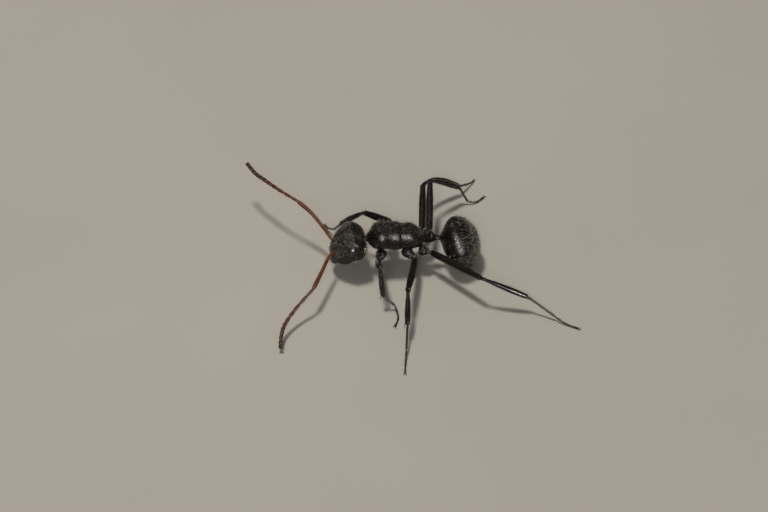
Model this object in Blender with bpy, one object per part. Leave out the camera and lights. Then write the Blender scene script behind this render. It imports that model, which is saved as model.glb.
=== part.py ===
"""A carpenter ant worker at life size, standing on six feet.

The ant faces -Y, its left side is +X and +Z is up.  Lengths are in millimetres and
become metres in one place, where a mesh is stored.  The model frame's origin lies on
the floor under the middle of the ant's box.
"""
import math

import bmesh
import bpy
from mathutils import Matrix, Vector

MM = 0.001            # one millimetre in metres
CUT = 0.02            # width of the thin cut between two neighbouring pieces
SHARP_ANGLE = 40      # edges that bend more than this many degrees stay crisp

# Trunk (the three fused rings that carry the legs): y, middle height, half width, half height.
PRONOTUM = ((-1.31, 1.96, 0.24, 0.24), (-1.25, 1.99, 0.45, 0.42), (-1.12, 2.05, 0.63, 0.60),
            (-0.80, 2.11, 0.75, 0.71), (-0.37, 2.09, 0.74, 0.73))
MESOTHORAX = ((-0.35, 2.08, 0.71, 0.72), (-0.10, 2.05, 0.74, 0.76), (0.10, 2.03, 0.73, 0.76),
              (0.31, 2.00, 0.65, 0.71))
PROPODEUM = ((0.33, 2.00, 0.64, 0.70), (0.60, 1.99, 0.68, 0.70), (0.90, 1.95, 0.66, 0.67),
             (1.20, 1.85, 0.52, 0.56), (1.38, 1.74, 0.33, 0.38), (1.45, 1.68, 0.15, 0.18))
NECK = ((-1.60, 2.00, 0.17, 0.17), (-1.33, 1.97, 0.17, 0.17))
PETIOLE = ((1.47, 1.68, 0.15, 0.15), (1.60, 1.72, 0.22, 0.22), (1.76, 1.84, 0.25, 0.33),
           (1.88, 1.86, 0.25, 0.34), (2.00, 1.78, 0.20, 0.22), (2.45, 1.76, 0.14, 0.14))
TRUNK_SIDES = 24
NECK_SIDES = 12
PETIOLE_SIDES = 16

# Head: an oval capsule along an axis that points forward and down to the mouth.
HEAD_MIDDLE = (0.0, -2.40, 1.66)
HEAD_PITCH = 51.0     # degrees below level
HEAD_YAW = 5.0        # degrees towards the ant's left
HEAD_RINGS = ((-0.93, 0.34, 0.24, -0.08), (-0.89, 0.68, 0.49, -0.08), (-0.78, 0.88, 0.64, -0.06),
              (-0.50, 0.97, 0.77, -0.05), (-0.05, 0.97, 0.81, -0.07), (0.33, 0.85, 0.73, -0.07),
              (0.64, 0.70, 0.59, -0.07), (0.88, 0.52, 0.42, -0.04))
HEAD_SIDES = 28
HEAD_ROUNDNESS = 0.80           # under 1, so the head is squarer than an ellipse
EYE_PLACE = (-0.30, 0.16)        # along the axis and towards the crown, from the head's middle
EYE_HALF = (0.26, 0.24, 0.15)
EYE_ASIDE = 0.87                 # from the head's middle to the eye's
EYE_FACING = (0.97, 0.24)        # how far it looks sideways and towards the crown
EYE_SIDES = 16
EYE_STEPS = 8
MANDIBLE_RINGS = ((0.90, 0.25, 0.24, 0.27), (1.04, 0.24, 0.22, 0.25), (1.18, 0.18, 0.15, 0.18),
                  (1.28, 0.09, 0.08, 0.09))
MANDIBLE_LIFT = -0.04
MANDIBLE_SIDES = 12

# Gaster (the hind body): an egg along an axis that points back and steeply down.
GASTER_MIDDLE = (0.17, 3.28, 1.56)
GASTER_PITCH = 68.0   # degrees below level
GASTER_YAW = -16.0    # degrees, turned to the ant's left as it runs back and down
GASTER_HALF = (1.49, 1.28, 0.93)
GASTER_FRONT_TAPER = 0.22
GASTER_TIP = 0.995    # where the end rings lie, as a part of the half length
GASTER_CUTS = (-0.28, 0.14, 0.50, 0.80)   # ring edges, as parts of the half length
GASTER_SIDES = 24
GASTER_STEPS = 14

# Limbs.
LIMB_SIDES = 10
LIMB_RADIUS = 0.25
COXA_RADIUS = 0.26

# Each leg: where its coxa leaves the trunk, then length, azimuth and rise of the
# coxa, femur, tibia, basitarsus and foot.  Azimuth 0 is straight ahead, 90 the ant's left.
LEGS = {
    "front_left": ((0.40, -0.60, 1.55), ((0.55, 33, -39), (2.26, 89, 34), (1.69, 106, -75),
                                         (0.79, 159, -38), (1.35, 86, -5))),
    "front_right": ((-0.52, -0.38, 1.62), ((0.88, -112, 7), (1.75, 10, 38), (1.90, -28, -46),
                                           (0.94, -55, -53), (0.85, -66, -34))),
    "middle_left": ((0.40, 0.60, 1.50), ((0.71, 122, -30), (2.67, 77, 11), (1.85, 84, -22),
                                         (1.27, 82, -22), (1.32, 82, -12))),
    "middle_right": ((-0.45, 0.75, 1.45), ((1.06, -136, -19), (2.81, -96, 13), (2.43, -155, -28),
                                           (0.68, -140, -22), (0.72, -128, -9))),
    "hind_left": ((0.44, 1.15, 1.45), ((0.62, 168, -16), (3.43, 132, 8), (2.49, 163, -19),
                                       (1.65, 148, -23), (1.38, 149, -4))),
    "hind_right": ((-0.38, 1.28, 1.58), ((0.73, -145, -13), (2.90, -96, 19), (2.09, -158, -38),
                                         (0.91, 162, -61), (0.84, -167, -3))),
}
LEG_PARTS = ("coxa", "femur", "tibia", "basitarsus", "foot")
SOLE_REACH = 0.07     # a foot's underside that comes this near the floor lies flat on it

# Each feeler: where it leaves the head, then length, azimuth and rise of its lengths.
FEELERS = {
    "left": ((0.40, -3.10, 1.58), ((2.73, 63, -2), (1.84, 43, -21), (1.70, 70, -19))),
    "right": ((-0.40, -3.02, 1.62), ((2.81, -49, 20), (1.76, -48, -3), (2.02, -57, -1))),
}
FEELER_PARTS = ("scape", "funiculus_base", "funiculus_tip")

# How each length swells: rings at a part of its length, as parts of the limb's radius.
SWELLS = {
    "coxa": (),
    "femur": ((0.25, 1.12), (0.5, 1.12), (0.78, 1.04)),
    "tibia": ((0.3, 1.0), (0.6, 1.06), (0.8, 1.04)),
    "basitarsus": ((0.5, 1.0),),
    "foot": ((0.35, 1.0), (0.7, 1.0), (0.88, 0.96), (1.0, 0.72)),
    "scape": ((0.4, 1.0), (0.8, 1.04)),
    "funiculus_base": ((0.5, 1.0),),
    "funiculus_tip": ((0.5, 1.0), (0.88, 0.92), (1.0, 0.55)),
}

# Colours (linear), roughness.
SHELL_BLACK = (0.012, 0.010, 0.008)
LEG_BROWN = (0.030, 0.014, 0.008)
FEELER_RED = (0.140, 0.036, 0.014)
EYE_BLACK = (0.006, 0.006, 0.006)


def clear_scene():
    for thing in list(bpy.context.scene.objects):
        bpy.data.objects.remove(thing, do_unlink=True)


def material(name, colour, roughness):
    made = bpy.data.materials.new(name)
    made.use_nodes = True
    shader = made.node_tree.nodes["Principled BSDF"]
    shader.inputs["Base Color"].default_value = (*colour, 1.0)
    shader.inputs["Roughness"].default_value = roughness
    shader.inputs["Metallic"].default_value = 0.0
    return made


def heading(azimuth, rise):
    """Unit vector for an azimuth measured from straight ahead and a rise above level."""
    flat = math.cos(math.radians(rise))
    turn = math.radians(azimuth)
    return Vector((flat * math.sin(turn), -flat * math.cos(turn), math.sin(math.radians(rise))))


def oval_ring(middle, side, up, half_side, half_up, sides, roundness=1.0):
    """Points round an oval; a roundness under 1 fills its four corners."""
    points = []
    for step in range(sides):
        angle = math.tau * step / sides
        across = math.copysign(abs(math.cos(angle)) ** roundness, math.cos(angle))
        above = math.copysign(abs(math.sin(angle)) ** roundness, math.sin(angle))
        points.append(middle + side * half_side * across + up * half_up * above)
    return points


def loft(name, rings, finish, sole_reach=0.0):
    """Join rings of points into one closed solid, with a flat cap over each end ring."""
    shell = bmesh.new()
    rows = []
    for ring in rings:
        row = []
        for point in ring:
            height = 0.0 if point.z < sole_reach else point.z
            row.append(shell.verts.new((point.x * MM, point.y * MM, height * MM)))
        rows.append(row)
    for near, far in zip(rows, rows[1:]):
        count = len(near)
        for step in range(count):
            after = (step + 1) % count
            shell.faces.new((near[step], near[after], far[after], far[step]))
    shell.faces.new(rows[0])
    shell.faces.new(rows[-1])
    bmesh.ops.recalc_face_normals(shell, faces=shell.faces)
    mesh = bpy.data.meshes.new(name)
    shell.to_mesh(mesh)
    shell.free()
    mesh.shade_smooth()
    mesh.set_sharp_from_angle(angle=math.radians(SHARP_ANGLE))
    made = bpy.data.objects.new(name, mesh)
    bpy.context.scene.collection.objects.link(made)
    if finish is not None:
        mesh.materials.append(finish)
    return made


def as_cutter(thing):
    thing.hide_render = True
    thing.display_type = "WIRE"
    return thing


def cut_by(thing, cutter):
    cut = thing.modifiers.new("cut by " + cutter.name, "BOOLEAN")
    cut.operation = "DIFFERENCE"
    cut.solver = "EXACT"
    cut.object = cutter


def eased(before, after, part):
    return tuple(a + (b - a) * part for a, b in zip(before, after))


def level_rings(stations, sides, grow=0.0, steps=2):
    """Upright oval rings along the body; between stations the sizes change evenly."""
    rings = []
    side = Vector((1, 0, 0))
    up = Vector((0, 0, 1))
    finer = []
    for before, after in zip(stations, stations[1:]):
        finer.extend(eased(before, after, step / steps) for step in range(steps))
    finer.append(stations[-1])
    for y, height, half_side, half_up in finer:
        middle = Vector((0, y, height))
        rings.append(oval_ring(middle, side, up, half_side + grow, half_up + grow, sides))
    return rings


def tilted_axes(pitch, yaw, faces_forward):
    """Axis, side and crown directions of a body part pitched below level and turned by yaw."""
    down = math.radians(pitch)
    way = -1.0 if faces_forward else 1.0
    axis = Vector((0, way * math.cos(down), -math.sin(down)))
    crown = Vector((0, way * math.sin(down), math.cos(down)))
    side = Vector((1, 0, 0))
    turn = Matrix.Rotation(math.radians(yaw), 3, "Z")
    return turn @ axis, turn @ side, turn @ crown


def head_ring(along, half_side, half_up, lift, aside=0.0, grow=0.0, sides=HEAD_SIDES):
    axis, side, crown = tilted_axes(HEAD_PITCH, HEAD_YAW, True)
    middle = Vector(HEAD_MIDDLE) + axis * along + crown * lift + side * aside
    return oval_ring(middle, side, crown, half_side + grow, half_up + grow, sides, HEAD_ROUNDNESS)


def make_head(shell_black, eye_black):
    rings = [head_ring(*row) for row in HEAD_RINGS]
    loft("head", rings, shell_black)
    grown = [head_ring(*row, grow=CUT) for row in HEAD_RINGS]
    cutter = as_cutter(loft("head_cutter", grown, None))
    axis, side, crown = tilted_axes(HEAD_PITCH, HEAD_YAW, True)
    along, lift = EYE_PLACE
    half_along, half_crown, half_out = EYE_HALF
    for word, sign in (("left", 1), ("right", -1)):
        outwards = (side * sign * EYE_FACING[0] + crown * EYE_FACING[1]).normalized()
        across = axis.cross(outwards)
        middle = Vector(HEAD_MIDDLE) + axis * along + crown * lift + side * sign * EYE_ASIDE
        eye_rings = []
        for step in range(1, EYE_STEPS):
            angle = math.pi * step / EYE_STEPS
            place = middle - outwards * half_out * math.cos(angle)
            size = math.sin(angle)
            ring = oval_ring(place, axis, across, half_along * size, half_crown * size, EYE_SIDES)
            eye_rings.append(ring)
        eye = loft("eye_" + word, eye_rings, eye_black)
        cut_by(eye, cutter)
    for word, sign in (("left", 1), ("right", -1)):
        rows = []
        for reach, half_side, half_up, aside in MANDIBLE_RINGS:
            rows.append(head_ring(reach, half_side, half_up, MANDIBLE_LIFT, aside * sign,
                                  sides=MANDIBLE_SIDES))
        loft("mandible_" + word, rows, shell_black)
    return cutter


def make_trunk(shell_black, head_cutter):
    loft("pronotum", level_rings(PRONOTUM, TRUNK_SIDES), shell_black)
    loft("mesothorax", level_rings(MESOTHORAX, TRUNK_SIDES), shell_black)
    loft("propodeum", level_rings(PROPODEUM, TRUNK_SIDES), shell_black)
    neck = loft("neck", level_rings(NECK, NECK_SIDES), shell_black)
    cut_by(neck, head_cutter)
    whole = PRONOTUM + MESOTHORAX + PROPODEUM
    return as_cutter(loft("trunk_cutter", level_rings(whole, TRUNK_SIDES, grow=CUT, steps=1), None))


def gaster_ring(part, grow=0.0):
    axis, side, crown = tilted_axes(GASTER_PITCH, GASTER_YAW, False)
    half_long, half_side, half_up = GASTER_HALF
    size = math.sqrt(1.0 - part * part) * (1.0 - GASTER_FRONT_TAPER * max(0.0, -part))
    middle = Vector(GASTER_MIDDLE) + axis * half_long * part
    return oval_ring(middle, side, crown, half_side * size + grow, half_up * size + grow, GASTER_SIDES)


def make_gaster(shell_black):
    edges = (-GASTER_TIP,) + GASTER_CUTS + (GASTER_TIP,)
    half_cut = CUT / 2 / GASTER_HALF[0]
    for number, (front, back) in enumerate(zip(edges, edges[1:]), start=1):
        start = math.acos(-max(front + half_cut, -GASTER_TIP))
        stop = math.acos(-min(back - half_cut, GASTER_TIP))
        steps = max(3, round(GASTER_STEPS * (stop - start) / math.pi))
        rings = []
        for step in range(steps + 1):
            rings.append(gaster_ring(-math.cos(start + (stop - start) * step / steps)))
        loft("gaster_%d" % number, rings, shell_black)
    grown = []
    for step in range(GASTER_STEPS + 1):
        grown.append(gaster_ring(-GASTER_TIP * math.cos(math.pi * step / GASTER_STEPS), grow=CUT))
    return as_cutter(loft("gaster_cutter", grown, None))


def limb_axes(direction):
    side = direction.cross(Vector((0, 0, 1)))
    if side.length < 0.05:
        side = Vector((1, 0, 0))
    side.normalize()
    return side, side.cross(direction).normalized()


def mitred_ring(joint, direction, mitre, gap, radius, sides):
    """A ring round `direction`, each point slid along it onto the plane of the mitre."""
    side, up = limb_axes(direction)
    ring = []
    for point in oval_ring(joint, side, up, radius, radius, sides):
        slide = (gap - (point - joint).dot(mitre)) / direction.dot(mitre)
        ring.append(point + direction * slide)
    return ring


def limb_piece(name, start, end, before, after, radius, swell, finish, sole_reach=0.0):
    """One straight length of a limb, mitred against the lengths before and after it."""
    direction = (end - start).normalized()
    side, up = limb_axes(direction)
    rings = []
    if before is None:
        rings.append(oval_ring(start, side, up, radius, radius, LIMB_SIDES))
    else:
        mitre = (before + direction).normalized()
        rings.append(mitred_ring(start, direction, mitre, CUT / 2, radius, LIMB_SIDES))
    for part, scale in swell:
        size = radius * scale
        rings.append(oval_ring(start.lerp(end, part), side, up, size, size, LIMB_SIDES))
    if after is not None:
        mitre = (after + direction).normalized()
        rings.append(mitred_ring(end, direction, mitre, -CUT / 2, radius, LIMB_SIDES))
    return loft(name, rings, finish, sole_reach)


def run_of_joints(start, lengths):
    """The joints of a limb, from its first point and each length, azimuth and rise."""
    joints = [Vector(start)]
    for length, azimuth, rise in lengths:
        joints.append(joints[-1] + heading(azimuth, rise) * length)
    return joints


def make_limb(parts, name_end, start, lengths, finish, cutter):
    joints = run_of_joints(start, lengths)
    directions = [(b - a).normalized() for a, b in zip(joints, joints[1:])]
    for index, part in enumerate(parts):
        before = directions[index - 1] if index > 0 else None
        after = directions[index + 1] if index + 1 < len(parts) else None
        radius = COXA_RADIUS if part == "coxa" else LIMB_RADIUS
        sole = SOLE_REACH if part in ("basitarsus", "foot") else 0.0
        piece = limb_piece("%s_%s" % (part, name_end), joints[index], joints[index + 1],
                           before, after, radius, SWELLS[part], finish, sole)
        if index == 0:
            cut_by(piece, cutter)


def centre_on_floor():
    """Slide every mesh so that the whole ant's box is centred over the origin."""
    pieces = [thing for thing in bpy.context.scene.objects if thing.type == "MESH"]
    shown = [thing for thing in pieces if not thing.hide_render]
    spots = [vertex.co for thing in shown for vertex in thing.data.vertices]
    middle_x = (min(spot.x for spot in spots) + max(spot.x for spot in spots)) / 2
    middle_y = (min(spot.y for spot in spots) + max(spot.y for spot in spots)) / 2
    for thing in pieces:
        thing.data.transform(Matrix.Translation((-middle_x, -middle_y, 0)))


clear_scene()
SHELL = material("black shell", SHELL_BLACK, 0.45)
LEG = material("brown leg shell", LEG_BROWN, 0.40)
FEELER = material("red feeler shell", FEELER_RED, 0.42)
EYE = material("black eye", EYE_BLACK, 0.18)
HEAD_CUTTER = make_head(SHELL, EYE)
TRUNK_CUTTER = make_trunk(SHELL, HEAD_CUTTER)
GASTER_CUTTER = make_gaster(SHELL)
PETIOLE_PIECE = loft("petiole", level_rings(PETIOLE, PETIOLE_SIDES), SHELL)
cut_by(PETIOLE_PIECE, GASTER_CUTTER)
for leg, (hip, run) in LEGS.items():
    make_limb(LEG_PARTS, leg, hip, run, LEG, TRUNK_CUTTER)
for feeler, (root, run) in FEELERS.items():
    make_limb(FEELER_PARTS, feeler, root, run, FEELER, HEAD_CUTTER)
centre_on_floor()
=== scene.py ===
import math

import bpy
import numpy as np
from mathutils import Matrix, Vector


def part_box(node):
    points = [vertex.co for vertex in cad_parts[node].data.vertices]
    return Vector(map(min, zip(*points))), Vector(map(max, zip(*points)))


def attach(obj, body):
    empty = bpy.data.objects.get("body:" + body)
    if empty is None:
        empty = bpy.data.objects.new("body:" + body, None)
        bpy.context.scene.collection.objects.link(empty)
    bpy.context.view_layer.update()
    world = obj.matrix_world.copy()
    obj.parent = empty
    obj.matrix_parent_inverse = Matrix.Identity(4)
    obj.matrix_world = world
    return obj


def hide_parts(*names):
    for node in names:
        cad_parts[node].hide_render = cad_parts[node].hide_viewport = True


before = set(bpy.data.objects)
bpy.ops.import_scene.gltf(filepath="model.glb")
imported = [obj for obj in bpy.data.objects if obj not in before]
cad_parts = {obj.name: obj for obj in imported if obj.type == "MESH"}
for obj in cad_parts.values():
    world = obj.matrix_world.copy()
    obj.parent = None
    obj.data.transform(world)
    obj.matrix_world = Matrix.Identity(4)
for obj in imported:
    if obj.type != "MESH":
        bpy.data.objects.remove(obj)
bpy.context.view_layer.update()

# ---------------------------------------------------------------------------------------
# Trunk.  Three rings of black shell fused into one box that carries the legs: pronotum,
# mesothorax and the globe of the propodeum, parted by two grooves.  The shell is finely
# netted and wears erect pale bristles over a thin down.

# Sizes are in millimetres: x to the ant's left of its midline, y back from mid trunk and
# z up from the floor.  MIDLINE is what they move by to stand on the frame's own solids.
MM = 0.001
PRONOTUM_FRONT = -1.31
pronotum_low, pronotum_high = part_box("pronotum")
MIDLINE = np.array([(pronotum_low.x + pronotum_high.x) / 2 / MM,
                    pronotum_low.y / MM - PRONOTUM_FRONT, 0.0])

TRUNK_STATIONS = (
    # y, middle height, half width, rise, drop
    (-1.50, 1.97, 0.02, 0.02, 0.02), (-1.48, 1.97, 0.16, 0.16, 0.16),
    (-1.39, 1.98, 0.24, 0.24, 0.23), (-1.27, 2.00, 0.39, 0.37, 0.35),
    (-1.12, 2.05, 0.60, 0.585, 0.53), (-0.94, 2.085, 0.705, 0.70, 0.64),
    (-0.76, 2.10, 0.735, 0.73, 0.69), (-0.62, 2.10, 0.72, 0.72, 0.70),
    (-0.49, 2.09, 0.685, 0.70, 0.70), (-0.36, 2.075, 0.71, 0.73, 0.71),
    (-0.12, 2.05, 0.745, 0.775, 0.74), (0.12, 2.03, 0.72, 0.755, 0.73),
    (0.29, 2.01, 0.67, 0.715, 0.68), (0.48, 1.99, 0.67, 0.705, 0.68),
    (0.76, 1.97, 0.685, 0.70, 0.66), (1.00, 1.92, 0.61, 0.62, 0.58),
    (1.22, 1.84, 0.47, 0.52, 0.48), (1.37, 1.73, 0.29, 0.35, 0.32),
    (1.44, 1.68, 0.12, 0.14, 0.12), (1.455, 1.68, 0.02, 0.02, 0.02))


def flowing(stations, t):
    """Rows of sizes at places t, 0 to 1, on a smooth curve through the stations."""
    rows = np.array(stations, float)
    last = len(rows) - 1
    place = np.clip(t, 0.0, 1.0) * last
    k = np.minimum(place.astype(int), last - 1)
    f = (place - k)[:, None]
    before, here, there = rows[np.maximum(k - 1, 0)], rows[k], rows[k + 1]
    beyond = rows[np.minimum(k + 2, last)]
    return 0.5 * (2 * here + (there - before) * f
                  + (2 * before - 5 * here + 4 * there - beyond) * f ** 2
                  + (3 * here - before - 3 * there + beyond) * f ** 3)


def rise_between(value, low, high):
    """0 below low, 1 above high, and a smooth climb between them."""
    f = np.clip((value - low) / (high - low), 0.0, 1.0)
    return f * f * (3 - 2 * f)


def bump_at(value, middle, reach):
    """A rounded hump of height 1 round `middle`, mostly within `reach`."""
    return np.exp(-((value - middle) / reach) ** 2)


def piece(name, points, faces, finish, nodes=(), patch=None):
    """One closed mesh from points in millimetres; it rides on the ant and wears the finish
    given.
    """
    mesh = bpy.data.meshes.new(name)
    counts = np.concatenate([np.full(len(group), group.shape[1]) for group in faces])
    corners = np.concatenate([group.ravel() for group in faces]).astype(np.int32)
    mesh.vertices.add(len(points))
    mesh.vertices.foreach_set("co", ((points + MIDLINE) * MM).astype(np.float32).ravel())
    mesh.loops.add(len(corners))
    mesh.loops.foreach_set("vertex_index", corners)
    mesh.polygons.add(len(counts))
    starts = np.concatenate([[0], np.cumsum(counts)[:-1]]).astype(np.int32)
    mesh.polygons.foreach_set("loop_start", starts)
    if patch is not None:
        layer = mesh.uv_layers.new(name="OFBake")
        layer.uv.foreach_set("vector", patch[corners].astype(np.float32).ravel())
    mesh.update(calc_edges=True)
    mesh.validate()
    mesh.shade_smooth()
    mesh.materials.append(finish)
    made = bpy.data.objects.new(name, mesh)
    bpy.context.scene.collection.objects.link(made)
    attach(made, "root")
    if nodes:
        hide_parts(*nodes)
    return made


def skin_grid(surface, along, around, ease=0.5):
    """Points and faces of a closed skin: surface(t, turn) with a point at either end.

    `ease` draws the rows closer together towards the two ends.
    """
    step = np.linspace(0.0, 1.0, along + 2)
    t = step + ease * ((1 - np.cos(math.pi * step)) / 2 - step)
    turn = np.arange(around) / around
    rows, turns = np.meshgrid(t[1:-1], turn, indexing="ij")
    points = surface(rows.ravel(), turns.ravel())
    start = surface(np.zeros(around), turn).mean(0)
    stop = surface(np.ones(around), turn).mean(0)
    row, col = np.meshgrid(np.arange(along - 1), np.arange(around), indexing="ij")
    after = (col + 1) % around
    quads = np.stack([row * around + col, row * around + after,
                      (row + 1) * around + after, (row + 1) * around + col], -1)
    ring, ahead = np.arange(around), (np.arange(around) + 1) % around
    head, tail = along * around, along * around + 1
    final = (along - 1) * around
    first_cap = np.stack([ahead, ring, np.full(around, head)], -1)
    last_cap = np.stack([final + ring, final + ahead, np.full(around, tail)], -1)
    return np.vstack([points, start, stop]), [quads.reshape(-1, 4), first_cap, last_cap]


def facing_out(points, faces):
    """Turn every face over if the skin came out inside out."""
    quads = faces[0]
    middle = points.mean(0)
    a, b, c = (points[quads[:, i]] - middle for i in range(3))
    volume = (a * np.cross(b, c)).sum()
    return faces if volume > 0 else [group[:, ::-1] for group in faces]


def skin(name, surface, along, around, finish, slot, *nodes, ease=0.5):
    """One closed skin as a piece, in place of the solids named in `nodes`."""
    points, faces = skin_grid(surface, along, around, ease)
    return piece(name, points, facing_out(points, faces), finish, nodes)


def shell_finish(name, dark, light, roughness, cell, depth, gloss=0.5, patches=900.0,
                 net_share=0.55):
    """Insect shell: a net of fine cells in relief, mottled from dark to light.

    `cell` and `depth` are the width of a cell and the height of the relief in millimetres;
    `net_share` is how much the net stands out against the grain between its walls.
    """
    made = bpy.data.materials.new(name)
    made.use_nodes = True
    nodes, links = made.node_tree.nodes, made.node_tree.links
    shader = nodes["Principled BSDF"]
    shader.inputs["Specular IOR Level"].default_value = gloss
    where = nodes.new("ShaderNodeTexCoord")
    mottle = nodes.new("ShaderNodeTexNoise")
    mottle.inputs["Scale"].default_value = patches
    mottle.inputs["Detail"].default_value = 6.0
    mottle.inputs["Roughness"].default_value = 0.65
    ramp = nodes.new("ShaderNodeValToRGB")
    ramp.color_ramp.elements[0].position = 0.35
    ramp.color_ramp.elements[0].color = (*dark, 1.0)
    ramp.color_ramp.elements[1].position = 0.72
    ramp.color_ramp.elements[1].color = (*light, 1.0)
    net = nodes.new("ShaderNodeTexVoronoi")
    net.feature = "DISTANCE_TO_EDGE"
    net.inputs["Scale"].default_value = 1.0 / (cell * MM)
    walls = nodes.new("ShaderNodeMapRange")
    walls.inputs["From Max"].default_value = 0.22
    grain = nodes.new("ShaderNodeTexNoise")
    grain.inputs["Scale"].default_value = 0.35 / (cell * MM)
    grain.inputs["Detail"].default_value = 4.0
    relief = nodes.new("ShaderNodeMath")
    relief.operation = "MULTIPLY_ADD"
    relief.inputs[1].default_value = net_share
    bump = nodes.new("ShaderNodeBump")
    bump.inputs["Strength"].default_value = 1.0
    bump.inputs["Distance"].default_value = depth * MM
    polish = nodes.new("ShaderNodeMapRange")
    polish.inputs["From Min"].default_value = 0.3
    polish.inputs["From Max"].default_value = 0.7
    polish.inputs["To Min"].default_value = roughness - 0.08
    polish.inputs["To Max"].default_value = roughness + 0.10
    for texture in (mottle, net, grain):
        links.new(where.outputs["Object"], texture.inputs["Vector"])
    links.new(mottle.outputs["Fac"], ramp.inputs["Fac"])
    links.new(ramp.outputs["Color"], shader.inputs["Base Color"])
    links.new(net.outputs["Distance"], walls.inputs["Value"])
    links.new(walls.outputs["Result"], relief.inputs[0])
    links.new(grain.outputs["Fac"], relief.inputs[2])
    links.new(relief.outputs["Value"], bump.inputs["Height"])
    links.new(bump.outputs["Normal"], shader.inputs["Normal"])
    links.new(grain.outputs["Fac"], polish.inputs["Value"])
    links.new(polish.outputs["Result"], shader.inputs["Roughness"])
    return made


def hair_finish(name, dark, light, roughness):
    """Dry hair, a little darker and lighter from tuft to tuft."""
    made = bpy.data.materials.new(name)
    made.use_nodes = True
    nodes, links = made.node_tree.nodes, made.node_tree.links
    shader = nodes["Principled BSDF"]
    shader.inputs["Roughness"].default_value = roughness
    where = nodes.new("ShaderNodeTexCoord")
    mottle = nodes.new("ShaderNodeTexNoise")
    mottle.inputs["Scale"].default_value = 5000.0
    mottle.inputs["Detail"].default_value = 2.0
    ramp = nodes.new("ShaderNodeValToRGB")
    ramp.color_ramp.elements[0].position = 0.3
    ramp.color_ramp.elements[0].color = (*dark, 1.0)
    ramp.color_ramp.elements[1].position = 0.7
    ramp.color_ramp.elements[1].color = (*light, 1.0)
    links.new(where.outputs["Object"], mottle.inputs["Vector"])
    links.new(mottle.outputs["Fac"], ramp.inputs["Fac"])
    links.new(ramp.outputs["Color"], shader.inputs["Base Color"])
    return made


def slopes(surface, t, turn):
    """Spots on a skin at t, turn, with their outward normals and area weights."""
    step = 1e-4
    along = surface(np.minimum(t + step, 1), turn) - surface(np.maximum(t - step, 0), turn)
    across = surface(t, turn + step) - surface(t, turn - step)
    normal = np.cross(across, along)
    area = np.linalg.norm(normal, axis=1) + 1e-12
    normal /= area[:, None]
    spots = surface(t, turn)
    middle = sum(surface(t, turn + quarter) for quarter in (0.0, 0.25, 0.5, 0.75)) / 4
    flip = np.where(((spots - middle) * normal).sum(1) < 0, -1.0, 1.0)
    return spots, normal * flip[:, None], area


def unit(vectors):
    """The same directions, each of length 1."""
    return vectors / (np.linalg.norm(vectors, axis=-1, keepdims=True) + 1e-12)


COAT_SPAN = (0.02, 0.98)    # hairs stop just short of both ends of a skin
TRIES = 6                   # spots drawn for each hair that is kept
ROOT_DEPTH = 0.012          # how far under the skin a hair starts
HAIR_WAIST = 0.72           # width halfway up a hair, against its root
HAIR_POINTS = 7             # two rings of three and a tip
PATCH = 0.003               # side of a hair's own square on the coat's map


def coat(name, surface, count, density, lie, length, lift, width, finish, seed,
         spread=0.25):
    """A joined mesh of tapering hairs rooted on a skin.

    `density` gives the share of hairs kept at a spot, `lie` the way they lean and `spread`
    how much they stray from it; `length` and `width` are in millimetres and `lift` is the
    angle in degrees from the skin.
    """
    dice = np.random.default_rng(seed)
    t = dice.uniform(*COAT_SPAN, count * TRIES)
    turn = dice.uniform(0.0, 1.0, count * TRIES)
    spots, normal, area = slopes(surface, t, turn)
    weight = area * np.clip(density(spots, normal), 0.0, 1.0)
    chosen = dice.choice(len(t), count, replace=False, p=weight / weight.sum())
    t, turn, spots, normal = t[chosen], turn[chosen], spots[chosen], normal[chosen]
    way = lie(spots) + dice.normal(0.0, spread, spots.shape)
    way = unit(way - (way * normal).sum(1, keepdims=True) * normal)
    angle = np.radians(lift * dice.uniform(0.6, 1.4, count))[:, None]
    reach = (length * dice.uniform(0.65, 1.25, count))[:, None]
    shaft = way * np.cos(angle) + normal * np.sin(angle)
    tip_way = way * np.cos(angle * 0.6) + normal * np.sin(angle * 0.6)
    low = spots - normal * ROOT_DEPTH
    middle = spots + shaft * reach * 0.5
    tip = middle + tip_way * reach * 0.5
    side = unit(np.cross(shaft, normal + 0.01))
    rise = unit(np.cross(side, shaft))
    rings = []
    for centre, size in ((low, 1.0), (middle, HAIR_WAIST)):
        for corner in range(3):
            bearing = math.tau * corner / 3
            rings.append(centre + (side * math.cos(bearing) + rise * math.sin(bearing))
                         * width * 0.5 * size)
    points = np.stack(rings + [tip], 1).reshape(-1, 3)
    base = (np.arange(count) * HAIR_POINTS)[:, None]
    quads = np.concatenate([base + np.array([k, (k + 1) % 3, 3 + (k + 1) % 3, 3 + k])
                            for k in range(3)])
    tips = np.concatenate([base + np.array([3 + k, 3 + (k + 1) % 3, 6]) for k in range(3)])
    floor = base + np.array([2, 1, 0])
    corner_x = np.array([0.0, 0.5, 1.0, 0.0, 0.5, 1.0, 0.5])
    corner_y = np.array([0.0, 0.0, 0.0, 0.5, 0.5, 0.5, 1.0])
    spot = 0.01 + 0.97 * np.stack([turn, t], -1)
    patch = spot[:, None, :] + PATCH * np.stack([corner_x, corner_y], -1)[None]
    return piece(name, points, [quads, tips, floor], finish, (), patch.reshape(-1, 2))


SPIRACLE = (0.98, 2.08)  # y and z of the breathing hole on either side of the propodeum
SPIRACLE_SIZE = 0.045


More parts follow.
